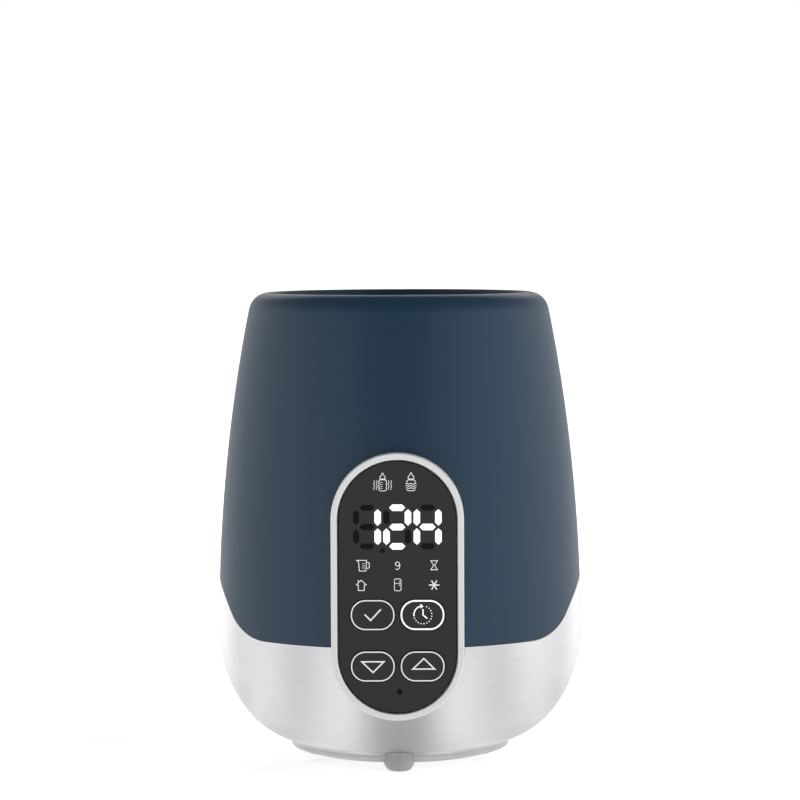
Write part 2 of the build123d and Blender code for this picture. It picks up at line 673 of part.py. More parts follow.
# ---------------------------------------------------------------- well and heater
FLOOR_UNDERSIDE = WELL_FLOOR - LINER_WALL
with BuildPart() as well_liner:
    with BuildSketch(Plane.XZ) as liner_section:
        with BuildLine():
            Polyline(
                (HEATER_OPENING, FLOOR_UNDERSIDE),
                (WELL_FLOOR_RADIUS + LINER_WALL, FLOOR_UNDERSIDE),
                (LINER_TOP_RADIUS + LINER_WALL, LINER_TOP),
                (LINER_TOP_RADIUS, LINER_TOP),
                (WELL_FLOOR_RADIUS, WELL_FLOOR),
                (HEATER_OPENING, WELL_FLOOR),
                close=True,
            )
        make_face()
        inner_corner = liner_section.vertices().sort_by_distance((WELL_FLOOR_RADIUS, 0, WELL_FLOOR))[0]
        fillet(inner_corner, 2.5)
    revolve(axis=Axis.Z)
    for angle in LINER_SCREW_ANGLES:
        with BuildSketch(Plane.XY.offset(FLOOR_UNDERSIDE)):
            with Locations(Location((0, 0, 0), (0, 0, angle))):
                with Locations((LINER_SCREW_CIRCLE - 3, 0)):
                    SlotOverall(14, 8)
        extrude(amount=LINER_WALL)
    with Locations(*ring_points(LINER_SCREW_CIRCLE, LINER_SCREW_ANGLES)):
        Cylinder(1.7, WELL_FLOOR + 1, align=BOTTOM, mode=Mode.SUBTRACT)
save(well_liner, "well_liner")

PLATE_FLANGE_RADIUS = 42.0
HEATER_BOTTOM = 56.0
HEATER_FLANGE_BOTTOM = 61.1
HEATER_TOP = 62.3
CLAMP_TOP = HEATER_BOTTOM - 0.1
CLAMP_BOTTOM = CLAMP_TOP - 1.5
CLAMP_SCREW_CIRCLE = 34.5
with BuildPart() as heating_plate:
    with Locations((0, 0, HEATER_BOTTOM)):
        Cylinder(HEATER_OPENING - 0.3, HEATER_FLANGE_BOTTOM - HEATER_BOTTOM, align=BOTTOM)
    with Locations((0, 0, HEATER_FLANGE_BOTTOM)):
        Cylinder(PLATE_FLANGE_RADIUS, HEATER_TOP - HEATER_FLANGE_BOTTOM, align=BOTTOM)
    fillet(heating_plate.edges().group_by(Axis.Z)[-1], 0.6)
    with Locations((0, 0, HEATER_BOTTOM)):
        with PolarLocations(CLAMP_SCREW_CIRCLE, 3, start_angle=30):
            Cylinder(1.35, 4.2, align=BOTTOM, mode=Mode.SUBTRACT)
save(heating_plate, "heating_plate")

with BuildPart() as plate_seal:
    with Locations((0, 0, WELL_FLOOR + 0.05)):
        Cylinder(PLATE_FLANGE_RADIUS - 0.3, 1, align=BOTTOM)
        Cylinder(HEATER_OPENING + 0.3, 1, align=BOTTOM, mode=Mode.SUBTRACT)
save(plate_seal, "plate_seal")

with BuildPart() as heater_clamp:
    with Locations((0, 0, CLAMP_BOTTOM)):
        Cylinder(45, FLOOR_UNDERSIDE - 0.1 - CLAMP_BOTTOM, align=BOTTOM)
    with Locations((0, 0, CLAMP_TOP)):
        Cylinder(41, 5, align=BOTTOM, mode=Mode.SUBTRACT)
    with Locations((0, 0, CLAMP_BOTTOM)):
        Cylinder(31, 5, align=BOTTOM, mode=Mode.SUBTRACT)
        with PolarLocations(CLAMP_SCREW_CIRCLE, 3, start_angle=30):
            Cylinder(1.7, 5, align=BOTTOM, mode=Mode.SUBTRACT)
save(heater_clamp, "heater_clamp")

CLAMP_SCREW_POINTS = ring_points(CLAMP_SCREW_CIRCLE, (30, 150, 270), CLAMP_BOTTOM)
with BuildPart() as heater_screws:
    with Locations(*CLAMP_SCREW_POINTS):
        add(screw(1.25, 5.2, 2.7, 1.9))
save(heater_screws, "heater_screws")

ELEMENT_CIRCLE = 26.0
ELEMENT_RADIUS = 3.3
ELEMENT_LEVEL = HEATER_BOTTOM - ELEMENT_RADIUS - 0.1
LEG_ANGLE = 18.0
LEG_BOTTOM = 40.0
with BuildPart() as heating_element:
    with BuildLine(Plane.XY.offset(ELEMENT_LEVEL)) as coil:
        CenterArc((0, 0), ELEMENT_CIRCLE, 90 + LEG_ANGLE, 360 - 2 * LEG_ANGLE)
    with BuildSketch(Plane(origin=coil.line @ 0, z_dir=coil.line % 0)):
        Circle(ELEMENT_RADIUS)
    sweep()
    with Locations(*ring_points(ELEMENT_CIRCLE, (90 - LEG_ANGLE, 90 + LEG_ANGLE), ELEMENT_LEVEL)):
        Sphere(ELEMENT_RADIUS)
        Cylinder(ELEMENT_RADIUS, ELEMENT_LEVEL - LEG_BOTTOM, align=TOP)
    with Locations(*ring_points(ELEMENT_CIRCLE, (90 - LEG_ANGLE, 90 + LEG_ANGLE), LEG_BOTTOM)):
        Cylinder(1.2, 4, align=TOP)
save(heating_element, "heating_element")

LEG_X, LEG_Y, _ = ring_points(ELEMENT_CIRCLE, [90 - LEG_ANGLE])[0]
with BuildPart() as heater_leads:
    for side in (-1, 1):
        add(
            lead(
                [
                    (side * LEG_X, LEG_Y, LEG_BOTTOM - 4.05),
                    (side * LEG_X, LEG_Y, LEG_BOTTOM - 9),
                    (side * HEATER_POLE, 16.3, 27),
                    (side * HEATER_POLE, 16.3, ENTRY_HEIGHT),
                    (side * HEATER_POLE, TERMINAL_Y - 3.1, ENTRY_HEIGHT),
                ],
                1.6,
            )
        )
save(heater_leads, "heater_leads")

SENSOR_TOP = HEATER_BOTTOM - 0.1
with BuildPart() as thermostat:
    with Locations((0, 6, SENSOR_TOP)):
        Cylinder(8, 8.5, align=TOP)
    with BuildSketch(Plane.XY.offset(SENSOR_TOP)):
        with Locations((0, 6)):
            SlotOverall(30, 8)
    extrude(amount=-1.2)
    with BuildSketch(Plane.XY.offset(SENSOR_TOP)):
        with Locations((-12, 6), (12, 6)):
            Circle(1.4)
    extrude(amount=-1.2, mode=Mode.SUBTRACT)
    with Locations((0, 6, SENSOR_TOP - 8.5)):
        with GridLocations(8, 1, 2, 1):
            Box(0.8, 5, 7, align=TOP)
save(thermostat, "thermostat")

with BuildPart() as thermal_fuse:
    with Locations(Location((-7, -10, SENSOR_TOP - 2.1), (0, 90, 0))):
        Cylinder(2, 12)
        Cylinder(0.6, 20)
save(thermal_fuse, "thermal_fuse")

with BuildPart() as temperature_sensor:
    with Locations((11, -9, SENSOR_TOP)):
        Cylinder(3, 9, align=TOP)
        Cylinder(4.2, 1.2, align=TOP)
    fillet(temperature_sensor.edges().sort_by(Axis.Z)[0], 1.2)
save(temperature_sensor, "temperature_sensor")

# ---------------------------------------------------------------- long case screws
CASE_SCREW = screw(1.25, 14, 2.9, 2.0)
with BuildPart() as liner_screws:
    screw_seats = ring_points(LINER_SCREW_CIRCLE, LINER_SCREW_ANGLES, WELL_FLOOR)
    with Locations(*[Location(seat, (180, 0, 0)) for seat in screw_seats]):
        add(CASE_SCREW)
save(liner_screws, "liner_screws")

with BuildPart() as shell_screws:
    with Locations((0, 0, EAR_TOP - EAR_HEIGHT)):
        with PolarLocations(SHELL_SCREW_CIRCLE, 4, start_angle=45):
            add(CASE_SCREW)
save(shell_screws, "shell_screws")

with BuildPart() as base_screws:
    with Locations((0, 0, PLATE_BOTTOM + 2.6)):
        with PolarLocations(BASE_SCREW_CIRCLE, 3, start_angle=BASE_SCREW_ANGLE):
            add(screw(1.25, 10, 2.9, 2.0))
save(base_screws, "base_screws")

# ---------------------------------------------------------------- lift-out basket
BASKET_INSIDE = BASKET_RADIUS - BASKET_WALL
FLOOR_THICKNESS = 1.8
with BuildPart() as bottle_basket:
    with Locations((0, 0, BASKET_FLOOR)):
        Cylinder(BASKET_RADIUS, HANDLE_TOP - BASKET_FLOOR, align=BOTTOM)
    fillet(bottle_basket.edges().group_by(Axis.Z)[0], 2.0)
    with Locations((0, 0, BASKET_FLOOR + FLOOR_THICKNESS)):
        Cylinder(BASKET_INSIDE, HANDLE_TOP, align=BOTTOM, mode=Mode.SUBTRACT)
    with BuildSketch(Plane.XZ) as side_view:
        with BuildLine():
            handle_outline = FilletPolyline(
                (-60, BASKET_TOP),
                (-HANDLE_WIDTH / 2 - 3, BASKET_TOP),
                (-HANDLE_WIDTH / 2, BASKET_TOP + 18),
                (-HANDLE_WIDTH / 2, HANDLE_TOP),
                (HANDLE_WIDTH / 2, HANDLE_TOP),
                (HANDLE_WIDTH / 2, BASKET_TOP + 18),
                (HANDLE_WIDTH / 2 + 3, BASKET_TOP),
                (60, BASKET_TOP),
                radius=4,
            )
            Polyline(handle_outline @ 1, (60, HANDLE_TOP + 5), (-60, HANDLE_TOP + 5), handle_outline @ 0)
        make_face()
    extrude(amount=-60, mode=Mode.SUBTRACT)
    with Locations((0, 0, BASKET_TOP)):
        Box(120, 60, 80, align=(Align.CENTER, Align.MAX, Align.MIN), mode=Mode.SUBTRACT)
    with BuildSketch(Plane.XZ.offset(-60)):
        with Locations((0, HANDLE_TOP - 16)):
            SlotOverall(18, 8, rotation=90)
    extrude(amount=59, mode=Mode.SUBTRACT)
    for angle in range(15, 180, 30):
        with BuildSketch(Plane.XZ.rotated((0, 0, angle))):
            with Locations((0, 84)):
                SlotOverall(30, 11, rotation=90)
        extrude(amount=60, both=True, mode=Mode.SUBTRACT)
    with BuildSketch(Plane.XY.offset(BASKET_FLOOR)):
        Circle(9)
        with PolarLocations(25, 6, start_angle=30):
            SlotOverall(20, 9)
    extrude(amount=FLOOR_THICKNESS, mode=Mode.SUBTRACT)
save(bottle_basket, "bottle_basket")
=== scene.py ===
"""Looks of the bottle warmer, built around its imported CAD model. Metres, +Z up, the panel faces -Y."""

import json
from math import atan2, cos, degrees, pi, radians, sin, sqrt

import bmesh
import bpy
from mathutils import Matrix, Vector
from mathutils.geometry import tessellate_polygon


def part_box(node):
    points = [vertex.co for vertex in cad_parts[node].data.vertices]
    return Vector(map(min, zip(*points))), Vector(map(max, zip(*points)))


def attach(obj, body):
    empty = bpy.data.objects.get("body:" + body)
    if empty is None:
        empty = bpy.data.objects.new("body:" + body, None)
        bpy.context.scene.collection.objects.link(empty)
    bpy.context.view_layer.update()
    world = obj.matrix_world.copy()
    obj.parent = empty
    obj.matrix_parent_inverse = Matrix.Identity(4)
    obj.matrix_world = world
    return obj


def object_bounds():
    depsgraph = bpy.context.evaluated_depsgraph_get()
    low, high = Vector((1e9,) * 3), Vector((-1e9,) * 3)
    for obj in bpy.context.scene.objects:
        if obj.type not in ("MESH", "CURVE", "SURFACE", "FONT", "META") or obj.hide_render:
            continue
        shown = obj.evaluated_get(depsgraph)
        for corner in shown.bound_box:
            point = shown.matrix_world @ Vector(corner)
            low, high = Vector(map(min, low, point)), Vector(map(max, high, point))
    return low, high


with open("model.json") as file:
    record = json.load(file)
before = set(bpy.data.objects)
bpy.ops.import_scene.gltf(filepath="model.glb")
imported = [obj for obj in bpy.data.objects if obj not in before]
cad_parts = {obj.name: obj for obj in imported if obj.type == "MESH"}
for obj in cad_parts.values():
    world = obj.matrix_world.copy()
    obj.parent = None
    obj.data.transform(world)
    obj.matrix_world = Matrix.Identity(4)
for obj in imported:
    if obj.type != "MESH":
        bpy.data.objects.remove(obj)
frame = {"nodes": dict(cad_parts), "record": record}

CAD_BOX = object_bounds()
NODES = frame["nodes"]
MM = 0.001

FASCIA_LOW, FASCIA_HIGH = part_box("fascia")
KEY_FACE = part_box("ok_key")[0].y
FASCIA_FACE = FASCIA_LOW.y
PRINT_THICKNESS = 0.05 * MM
PRINT_SINK = 0.01 * MM

# The outer wall is an arc in section: its widest height and its radius, as in the CAD.
WAIST, SIDE_RADIUS = 50 * MM, 625 * MM


# ---------------------------------------------------------------- material helpers
def new_material(name, colour, roughness=0.5, metallic=0.0, **sockets):
    """A Principled material. Extra keywords are socket names with underscores for spaces."""
    material = bpy.data.materials.new(name)
    material.use_nodes = True
    shader = material.node_tree.nodes["Principled BSDF"]
    shader.inputs["Base Color"].default_value = (*colour, 1)
    shader.inputs["Roughness"].default_value = roughness
    shader.inputs["Metallic"].default_value = metallic
    for socket, value in sockets.items():
        shader.inputs[socket.replace("_", " ")].default_value = value
    return material


def feed(material, name, value):
    """Links a socket to one of the Principled shader's inputs."""
    tree = material.node_tree
    tree.links.new(value, tree.nodes["Principled BSDF"].inputs[name])


def noise(material, scale, detail=4.0, stretch=(1, 1, 1), roughness=0.55):
    """A noise pattern in row-frame metres, stretched along the axes. Returns its value socket."""
    nodes, links = material.node_tree.nodes, material.node_tree.links
    place = nodes.new("ShaderNodeTexCoord")
    mapping = nodes.new("ShaderNodeMapping")
    mapping.inputs["Scale"].default_value = stretch
    pattern = nodes.new("ShaderNodeTexNoise")
    pattern.inputs["Scale"].default_value = scale
    pattern.inputs["Detail"].default_value = detail
    pattern.inputs["Roughness"].default_value = roughness
    links.new(place.outputs["Object"], mapping.inputs["Vector"])
    links.new(mapping.outputs["Vector"], pattern.inputs["Vector"])
    return pattern.outputs["Fac"]


def spread(owner, value, low, high, start=0.3, end=0.7, smooth=False):
    """Maps start..end to low..high, held level beyond both ends. The owner is a material or the world."""
    nodes, links = owner.node_tree.nodes, owner.node_tree.links
    ranges = nodes.new("ShaderNodeMapRange")
    ranges.interpolation_type = "SMOOTHSTEP" if smooth else "LINEAR"
    ranges.inputs["From Min"].default_value = start
    ranges.inputs["From Max"].default_value = end
    ranges.inputs["To Min"].default_value = low
    ranges.inputs["To Max"].default_value = high
    links.new(value, ranges.inputs["Value"])
    return ranges.outputs["Result"]


def tint(material, value, dark, light, start=0.3, end=0.7):
    """Colours the surface from dark to light as a pattern rises. Returns the colour socket."""
    ramp = material.node_tree.nodes.new("ShaderNodeValToRGB")
    ramp.color_ramp.elements[0].position = start
    ramp.color_ramp.elements[0].color = (*dark, 1)
    ramp.color_ramp.elements[1].position = end
    ramp.color_ramp.elements[1].color = (*light, 1)
    material.node_tree.links.new(value, ramp.inputs["Fac"])
    feed(material, "Base Color", ramp.outputs["Color"])
    return ramp.outputs["Color"]


def roughen(material, value, low, high):
    """Lets a pattern vary the roughness."""
    feed(material, "Roughness", spread(material, value, low, high))


def relief(material, *layers):
    """Stacks bumps, each (pattern, depth in metres)."""
    nodes, links = material.node_tree.nodes, material.node_tree.links
    below = None
    for value, depth in layers:
        bump = nodes.new("ShaderNodeBump")
        bump.inputs["Strength"].default_value = 1.0
        bump.inputs["Distance"].default_value = depth
        links.new(value, bump.inputs["Height"])
        if below:
            links.new(below, bump.inputs["Normal"])
        below = bump.outputs["Normal"]
    feed(material, "Normal", below)


def coordinate(material, axis_or_radius):
    """The surface point's X, Y or Z, or its distance R from the well's axis, as a value socket in metres."""
    nodes, links = material.node_tree.nodes, material.node_tree.links
    place = nodes.new("ShaderNodeTexCoord")
    if axis_or_radius == "R":
        flat = nodes.new("ShaderNodeVectorMath")
        flat.operation = "MULTIPLY"
        flat.inputs[1].default_value = (1, 1, 0)
        length = nodes.new("ShaderNodeVectorMath")
        length.operation = "LENGTH"
        links.new(place.outputs["Object"], flat.inputs[0])
        links.new(flat.outputs["Vector"], length.inputs[0])
        return length.outputs["Value"]
    split = nodes.new("ShaderNodeSeparateXYZ")
    links.new(place.outputs["Object"], split.inputs["Vector"])
    return split.outputs[axis_or_radius]


def maths(owner, operation, *values):
    """One maths node on sockets or numbers, in a material or the world. Returns its value socket."""
    node = owner.node_tree.nodes.new("ShaderNodeMath")
    node.operation = operation
    for socket, value in zip(node.inputs, values):
        if isinstance(value, (int, float)):
            socket.default_value = value
        else:
            owner.node_tree.links.new(value, socket)
    return node.outputs["Value"]


def scaled(owner, colour, factor):
    """A colour socket times a value socket, in a material or the world. The result may pass 1."""
    node = owner.node_tree.nodes.new("ShaderNodeVectorMath")
    node.operation = "SCALE"
    owner.node_tree.links.new(colour, node.inputs[0])
    owner.node_tree.links.new(factor, node.inputs["Scale"])
    return node.outputs["Vector"]


def shade(colour, factor):
    """A colour made lighter or darker."""
    return tuple(min(1.0, channel * factor) for channel in colour)


def moulded(name, colour, roughness=0.5, grain=0.5 * MM, depth=0.004 * MM, **sockets):
    """Moulded plastic or rubber: a fine skin texture and slightly uneven colour and gloss."""
    material = new_material(name, colour, roughness, **sockets)
    cloud = noise(material, 55, detail=3)
    skin = noise(material, 1 / grain, detail=3)
    tint(material, cloud, shade(colour, 0.9), shade(colour, 1.1))
    roughen(material, skin, roughness - 0.05, roughness + 0.06)
    relief(material, (skin, depth))
    return material


def turned_metal(name, colour, roughness=0.35, depth=0.003 * MM, stretch=(25, 25, 2500)):
    """Metal with fine lines that run level."""
    material = new_material(name, colour, roughness, metallic=1.0)
    lines = noise(material, 1, detail=5, stretch=stretch)
    cloud = noise(material, 60, detail=2)
    tint(material, lines, shade(colour, 0.86), shade(colour, 1.08))
    roughen(material, cloud, roughness - 0.04, roughness + 0.06)
    relief(material, (lines, depth))
    return material


# ---------------------------------------------------------------- materials
def shell_paint():
    """Satin paint: fine orange-peel skin, tiny specks and a slightly blue sheen."""
    navy = (0.0053, 0.0290, 0.061)
    material = new_material("shell_paint", navy, 0.46,
                            Specular_IOR_Level=0.6, Specular_Tint=(0.88, 0.96, 1, 1))
    skin = noise(material, 1500, detail=3)
    grit = noise(material, 9000, detail=1)
    tint(material, skin, shade(navy, 0.84), shade(navy, 1.16))
    roughen(material, skin, 0.41, 0.52)
    relief(material, (skin, 0.004 * MM), (grit, 0.0015 * MM))
    return material


def brushed_steel():
    """Sheet steel brushed round the bowl, with level scratches of two lengths. Its colour is darkened by
    painted shade along its lowest edge, low at its sides where the bowl turns under, and at the outer corners
    of its lower half."""
    steel = (0.86, 0.848, 0.852)
    material = new_material("brushed_steel", steel, 0.32, metallic=1.0,
                            Anisotropic=0.95, Anisotropic_Rotation=0.25)
    tangent = material.node_tree.nodes.new("ShaderNodeTangent")
    tangent.direction_type = "RADIAL"
    tangent.axis = "Z"
    feed(material, "Tangent", tangent.outputs["Tangent"])
    long_lines = noise(material, 1, detail=3, stretch=(100, 100, 2900))
    short_lines = noise(material, 1, detail=3, stretch=(260, 260, 5600))
    streaked = tint(material, long_lines, shade(steel, 0.96), shade(steel, 1.03))

    height = coordinate(material, "Z")
    sideways = maths(material, "ABSOLUTE", coordinate(material, "X"))
    # Painted shade: the colour is darkened along the lowest edge, low at the sides where the bowl turns
    # under, and at the outer corners of the lower half.
    painted_hem_shade = spread(material, height, 0.87, 1.0, 7.1 * MM, 7.7 * MM)
    painted_shade_turned_under = maths(material, "MULTIPLY", spread(material, sideways, 0.0, 0.18, 30 * MM, 42 * MM),
                         spread(material, height, 1.0, 0.0, 11 * MM, 18 * MM))
    painted_shade_outer_corners = maths(material, "MULTIPLY", spread(material, sideways, 0.0, 0.22, 54 * MM, 60 * MM),
                          spread(material, height, 1.0, 0.0, 24 * MM, 36 * MM))
    painted_shade = maths(material, "ADD", painted_shade_turned_under, painted_shade_outer_corners)
    feed(material, "Base Color", scaled(material, streaked, maths(material, "SUBTRACT", painted_hem_shade, painted_shade)))
    roughen(material, short_lines, 0.28, 0.36)
    relief(material, (long_lines, 0.0005 * MM), (short_lines, 0.0007 * MM))
    return material


def base_moulding():
    """Satin grey moulding with a metallic lustre, duller on the feet where they stand out from the rim. The
    feet's colour is darkened there too, as painted shade.
    """
    grey = (0.55, 0.55, 0.552)
    rim_end = (42.0 * MM, 42.6 * MM)
    material = new_material("grey_moulding", grey, 0.36)
    cloud = noise(material, 55, detail=3)
    skin = noise(material, 2000, detail=3)
    mottled = tint(material, cloud, shade(grey, 0.95), shade(grey, 1.05))
    reach = coordinate(material, "R")
    # Painted shade: beyond the rim, on the feet, the colour is darkened to 0.6 of the moulding's.
    feed(material, "Base Color", scaled(material, mottled, spread(material, reach, 1.0, 0.60, *rim_end)))
    feed(material, "Metallic", spread(material, reach, 0.66, 0.05, *rim_end))
    roughen(material, skin, 0.33, 0.42)
    relief(material, (skin, 0.003 * MM))
    return material


def circuit_board():
    """Green solder mask over a faint pattern of tracks."""
    green = (0.012, 0.10, 0.035)
    material = new_material("circuit_board", green, 0.35, Coat_Weight=0.4, Coat_Roughness=0.2)
    tracks = noise(material, 1, detail=1, stretch=(420, 420, 420))
    tint(material, tracks, green, shade(green, 1.9), 0.49, 0.51)
    relief(material, (tracks, 0.01 * MM))
    return material


def glowing(name, colour, strength):
    """A print that glows, slightly uneven across its width as light through a film is. The display's lit
    segments are lit; on the white prints the glow is painted light.
    """
    material = new_material(name, colour, 0.5, Emission_Strength=strength)
    cloud = noise(material, 700, detail=2)
    feed(material, "Emission Color", tint(material, cloud, shade(colour, 0.95), colour))
    return material


def fascia_film(name, colour):
    """Black printed film with a very fine matt grain."""
    material = new_material(name, colour, 0.42, Specular_IOR_Level=0.45)
    grain = noise(material, 6000, detail=2)
    cloud = noise(material, 40, detail=2)
    tint(material, cloud, shade(colour, 0.95), shade(colour, 1.05))
    roughen(material, grain, 0.38, 0.47)
    relief(material, (grain, 0.001 * MM))
    return material


def silver_trim():
    """Satin silver coating on the bezel."""
    silver = (0.78, 0.78, 0.783)
    material = new_material("silver_trim", silver, 0.36, metallic=0.1)
    flake = noise(material, 7000, detail=2)
    cloud = noise(material, 80, detail=2)
    tint(material, flake, shade(silver, 0.94), shade(silver, 1.05))
    roughen(material, cloud, 0.33, 0.40)
    relief(material, (flake, 0.001 * MM))
    return material


BLACK_FILM = (0.0225, 0.0225, 0.0228)
LOOKS = {
    "navy_shell": shell_paint(),
    "steel": brushed_steel(),
    "dark_moulding": moulded("dark_moulding", (0.04, 0.043, 0.047), 0.55),
    "grey_moulding": base_moulding(),
    "foot_rubber": moulded("foot_rubber", (0.33, 0.33, 0.333), 0.62, grain=0.35 * MM, depth=0.012 * MM),
    "silver_trim": silver_trim(),
    "fascia_black": fascia_film("fascia_black", BLACK_FILM),
    "key_black": fascia_film("key_black", shade(BLACK_FILM, 1.05)),
    "display_black": moulded("display_black", (0.012, 0.012, 0.013), 0.2),
    "light_guide": moulded("light_guide", (0.75, 0.75, 0.72), 0.4, Subsurface_Weight=0.3),
    "led": moulded("led", (0.8, 0.78, 0.6), 0.3),
    "board_green": circuit_board(),
    "chip_black": moulded("chip_black", (0.02, 0.02, 0.021), 0.5, grain=0.2 * MM),
    "connector_white": moulded("connector_white", (0.72, 0.71, 0.65), 0.45),
    "switch_black": moulded("switch_black", (0.025, 0.025, 0.025), 0.5),
    "stem_white": moulded("stem_white", (0.7, 0.7, 0.67), 0.4),
    "ribbon_grey": turned_metal("ribbon_grey", (0.4, 0.4, 0.41), 0.6, stretch=(1600, 20, 20)),
    "relay_blue": moulded("relay_blue", (0.015, 0.07, 0.27), 0.3),
    "transformer_yellow": moulded("transformer_yellow", (0.55, 0.36, 0.03), 0.35,
                                  grain=2 * MM, depth=0.03 * MM),
    "capacitor_sleeve": moulded("capacitor_sleeve", (0.02, 0.03, 0.075), 0.25),
    "film_capacitor": moulded("film_capacitor", (0.55, 0.36, 0.04), 0.35),
    "fuse_ceramic": moulded("fuse_ceramic", (0.72, 0.70, 0.62), 0.3),
    "terminal_green": moulded("terminal_green", (0.02, 0.18, 0.05), 0.4),
    "inlet_black": moulded("inlet_black", (0.02, 0.02, 0.021), 0.42, grain=0.3 * MM, depth=0.006 * MM),
    "pin_brass": turned_metal("pin_brass", (0.70, 0.64, 0.50), 0.22, stretch=(2000, 60, 2000)),
    "lead_white": moulded("lead_white", (0.68, 0.67, 0.62), 0.5),
    "lead_red": moulded("lead_red", (0.38, 0.02, 0.015), 0.5),
    "liner_dark": moulded("liner_dark", (0.018, 0.026, 0.037), 0.42, grain=0.6 * MM),
    "plate_aluminium": turned_metal("plate_aluminium", (0.55, 0.55, 0.55), 0.34, stretch=(900, 30, 30)),
    "seal_silicone": moulded("seal_silicone", (0.5, 0.5, 0.49), 0.55),
    "zinc_steel": turned_metal("zinc_steel", (0.55, 0.55, 0.53), 0.35, stretch=(700, 700, 700)),
    "element_steel": turned_metal("element_steel", (0.30, 0.27, 0.24), 0.45, stretch=(500, 500, 500)),
    "thermostat_body": moulded("thermostat_body", (0.03, 0.025, 0.02), 0.5),
    "basket_plastic": moulded("basket_plastic", (0.50, 0.52, 0.54), 0.38, Subsurface_Weight=0.15),
}
# Painted highlight: the hem's steel is lighter than the bowl's, so the edge shows as a bright line.
HEM_STEEL_PAINTED_HIGHLIGHT = turned_metal("steel_hem", (0.95, 0.945, 0.94), 0.42, stretch=(60, 60, 3000))

for part in frame["record"]["subparts"]:
    carried = NODES[part["node"]]
    carried.data.materials.clear()
    carried.data.materials.append(LOOKS[part["material_slot"]])

LIT = glowing("lit_segment", (1.0, 1.0, 1.0), 0.45)
UNLIT = new_material("unlit_segment", (0.003, 0.003, 0.0031), 0.5, Specular_IOR_Level=0.2)
relief(UNLIT, (noise(UNLIT, 6000, detail=2), 0.001 * MM))
# Painted light: the white prints glow to look bright; the timer key's marks glow brighter still.
PAINTED_GLOW_PRINT = glowing("white_print_painted_glow", (0.66, 0.66, 0.66), 0.38)
BRIGHT_PAINTED_GLOW_PRINT = glowing("bright_print_painted_glow", (0.88, 0.88, 0.88), 0.5)


# ---------------------------------------------------------------- flat prints on the panel
def on_circle(centre, radius, angle):
    """The point on a circle at an angle in degrees, counter-clockwise from +X."""
    return (centre[0] + radius * cos(radians(angle)), centre[1] + radius * sin(radians(angle)))


def arc(centre, radius, start, end, steps):
    """Points on an arc from one angle to another."""
    return [on_circle(centre, radius, start + (end - start) * i / steps) for i in range(steps + 1)]


def placed(x, z, points):
    """Points given from a centre, moved to where the centre is."""
    return [(x + dx, z + dz) for dx, dz in points]


def round_box(centre, width, height, corner, steps=10):
    """A rectangle with rounded corners, as a loop."""
    loop = []
    for turn, (sx, sy) in enumerate(((1, 1), (-1, 1), (-1, -1), (1, -1))):
        middle = (centre[0] + sx * (width / 2 - corner), centre[1] + sy * (height / 2 - corner))
        loop += arc(middle, corner, 90 * turn, 90 * turn + 90, steps)
    return loop


def beside(path, distance, closed):
    """The path moved sideways, with mitred corners."""
    moved = []
    count = len(path)
    for i, (x, y) in enumerate(path):
        before = path[i - 1] if closed or i else None
        after = path[(i + 1) % count] if closed or i < count - 1 else None
        normals = []
        for a, b in ((before, (x, y)), ((x, y), after)):
            if a and b:
                dx, dy = b[0] - a[0], b[1] - a[1]
                size = sqrt(dx * dx + dy * dy)
                normals.append((-dy / size, dx / size))
        nx = sum(n[0] for n in normals)
        ny = sum(n[1] for n in normals)
        reach = distance * len(normals) / (nx * nx + ny * ny) if len(normals) == 2 else distance
        moved.append((x + nx * reach, y + ny * reach))
    return moved


def stroke(path, width, closed=False):
    """A line of even width along a path, with round ends when open: [outer loop, hole]."""
    if closed:
        return [beside(path, width / 2, True), beside(path, -width / 2, True)]
    left, right = beside(path, width / 2, False), beside(path, -width / 2, False)
    loop = list(right)
    for end, corner in ((path[-1], right[-1]), (path[0], left[0])):
        start = degrees(atan2(corner[1] - end[1], corner[0] - end[0]))
        loop += arc(end, width / 2, start, start + 180, 8)[1:-1]
        loop += reversed(left) if end is path[-1] else []
    return [loop]


def printed(name, shapes, face, material, body):
    """Thin printed solids on the panel. Each shape is [outer loop, holes...] in panel millimetres."""
    points, faces = [], []
    for loops in shapes:
        rings = []
        for depth in (face - PRINT_THICKNESS, face + PRINT_SINK):
            for loop in loops:
                rings.append(range(len(points), len(points) + len(loop)))
                points += [(x * MM, depth, z * MM) for x, z in loop]
        front = [i for ring in rings[: len(loops)] for i in ring]
        back = [i for ring in rings[len(loops):] for i in ring]
        for triangle in tessellate_polygon([[Vector((x, z, 0)) for x, z in loop] for loop in loops]):
            faces.append([front[i] for i in triangle])
            faces.append([back[i] for i in reversed(triangle)])
        for near, far in zip(rings[: len(loops)], rings[len(loops):]):
            count = len(near)
            for i in range(count):
                faces.append([near[i], near[(i + 1) % count], far[(i + 1) % count], far[i]])
    add_mesh(name, points, faces, material, body)


def add_mesh(name, points, faces, material, body):
    """A flat-shaded mesh piece riding on a body, with its faces turned outwards."""
    mesh = bpy.data.meshes.new(name)
    mesh.from_pydata(points, [], faces)
    work = bmesh.new()
    work.from_mesh(mesh)
    bmesh.ops.recalc_face_normals(work, faces=work.faces)
    work.to_mesh(mesh)
    work.free()
    piece = bpy.data.objects.new(name, mesh)
    bpy.context.scene.collection.objects.link(piece)
    mesh.materials.append(material)
    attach(piece, body)


# ---------------------------------------------------------------- polished hem along the steel's upper edge
SHARP = 0.7  # radians between two faces
SHORTEST_CHAIN = 8  # points


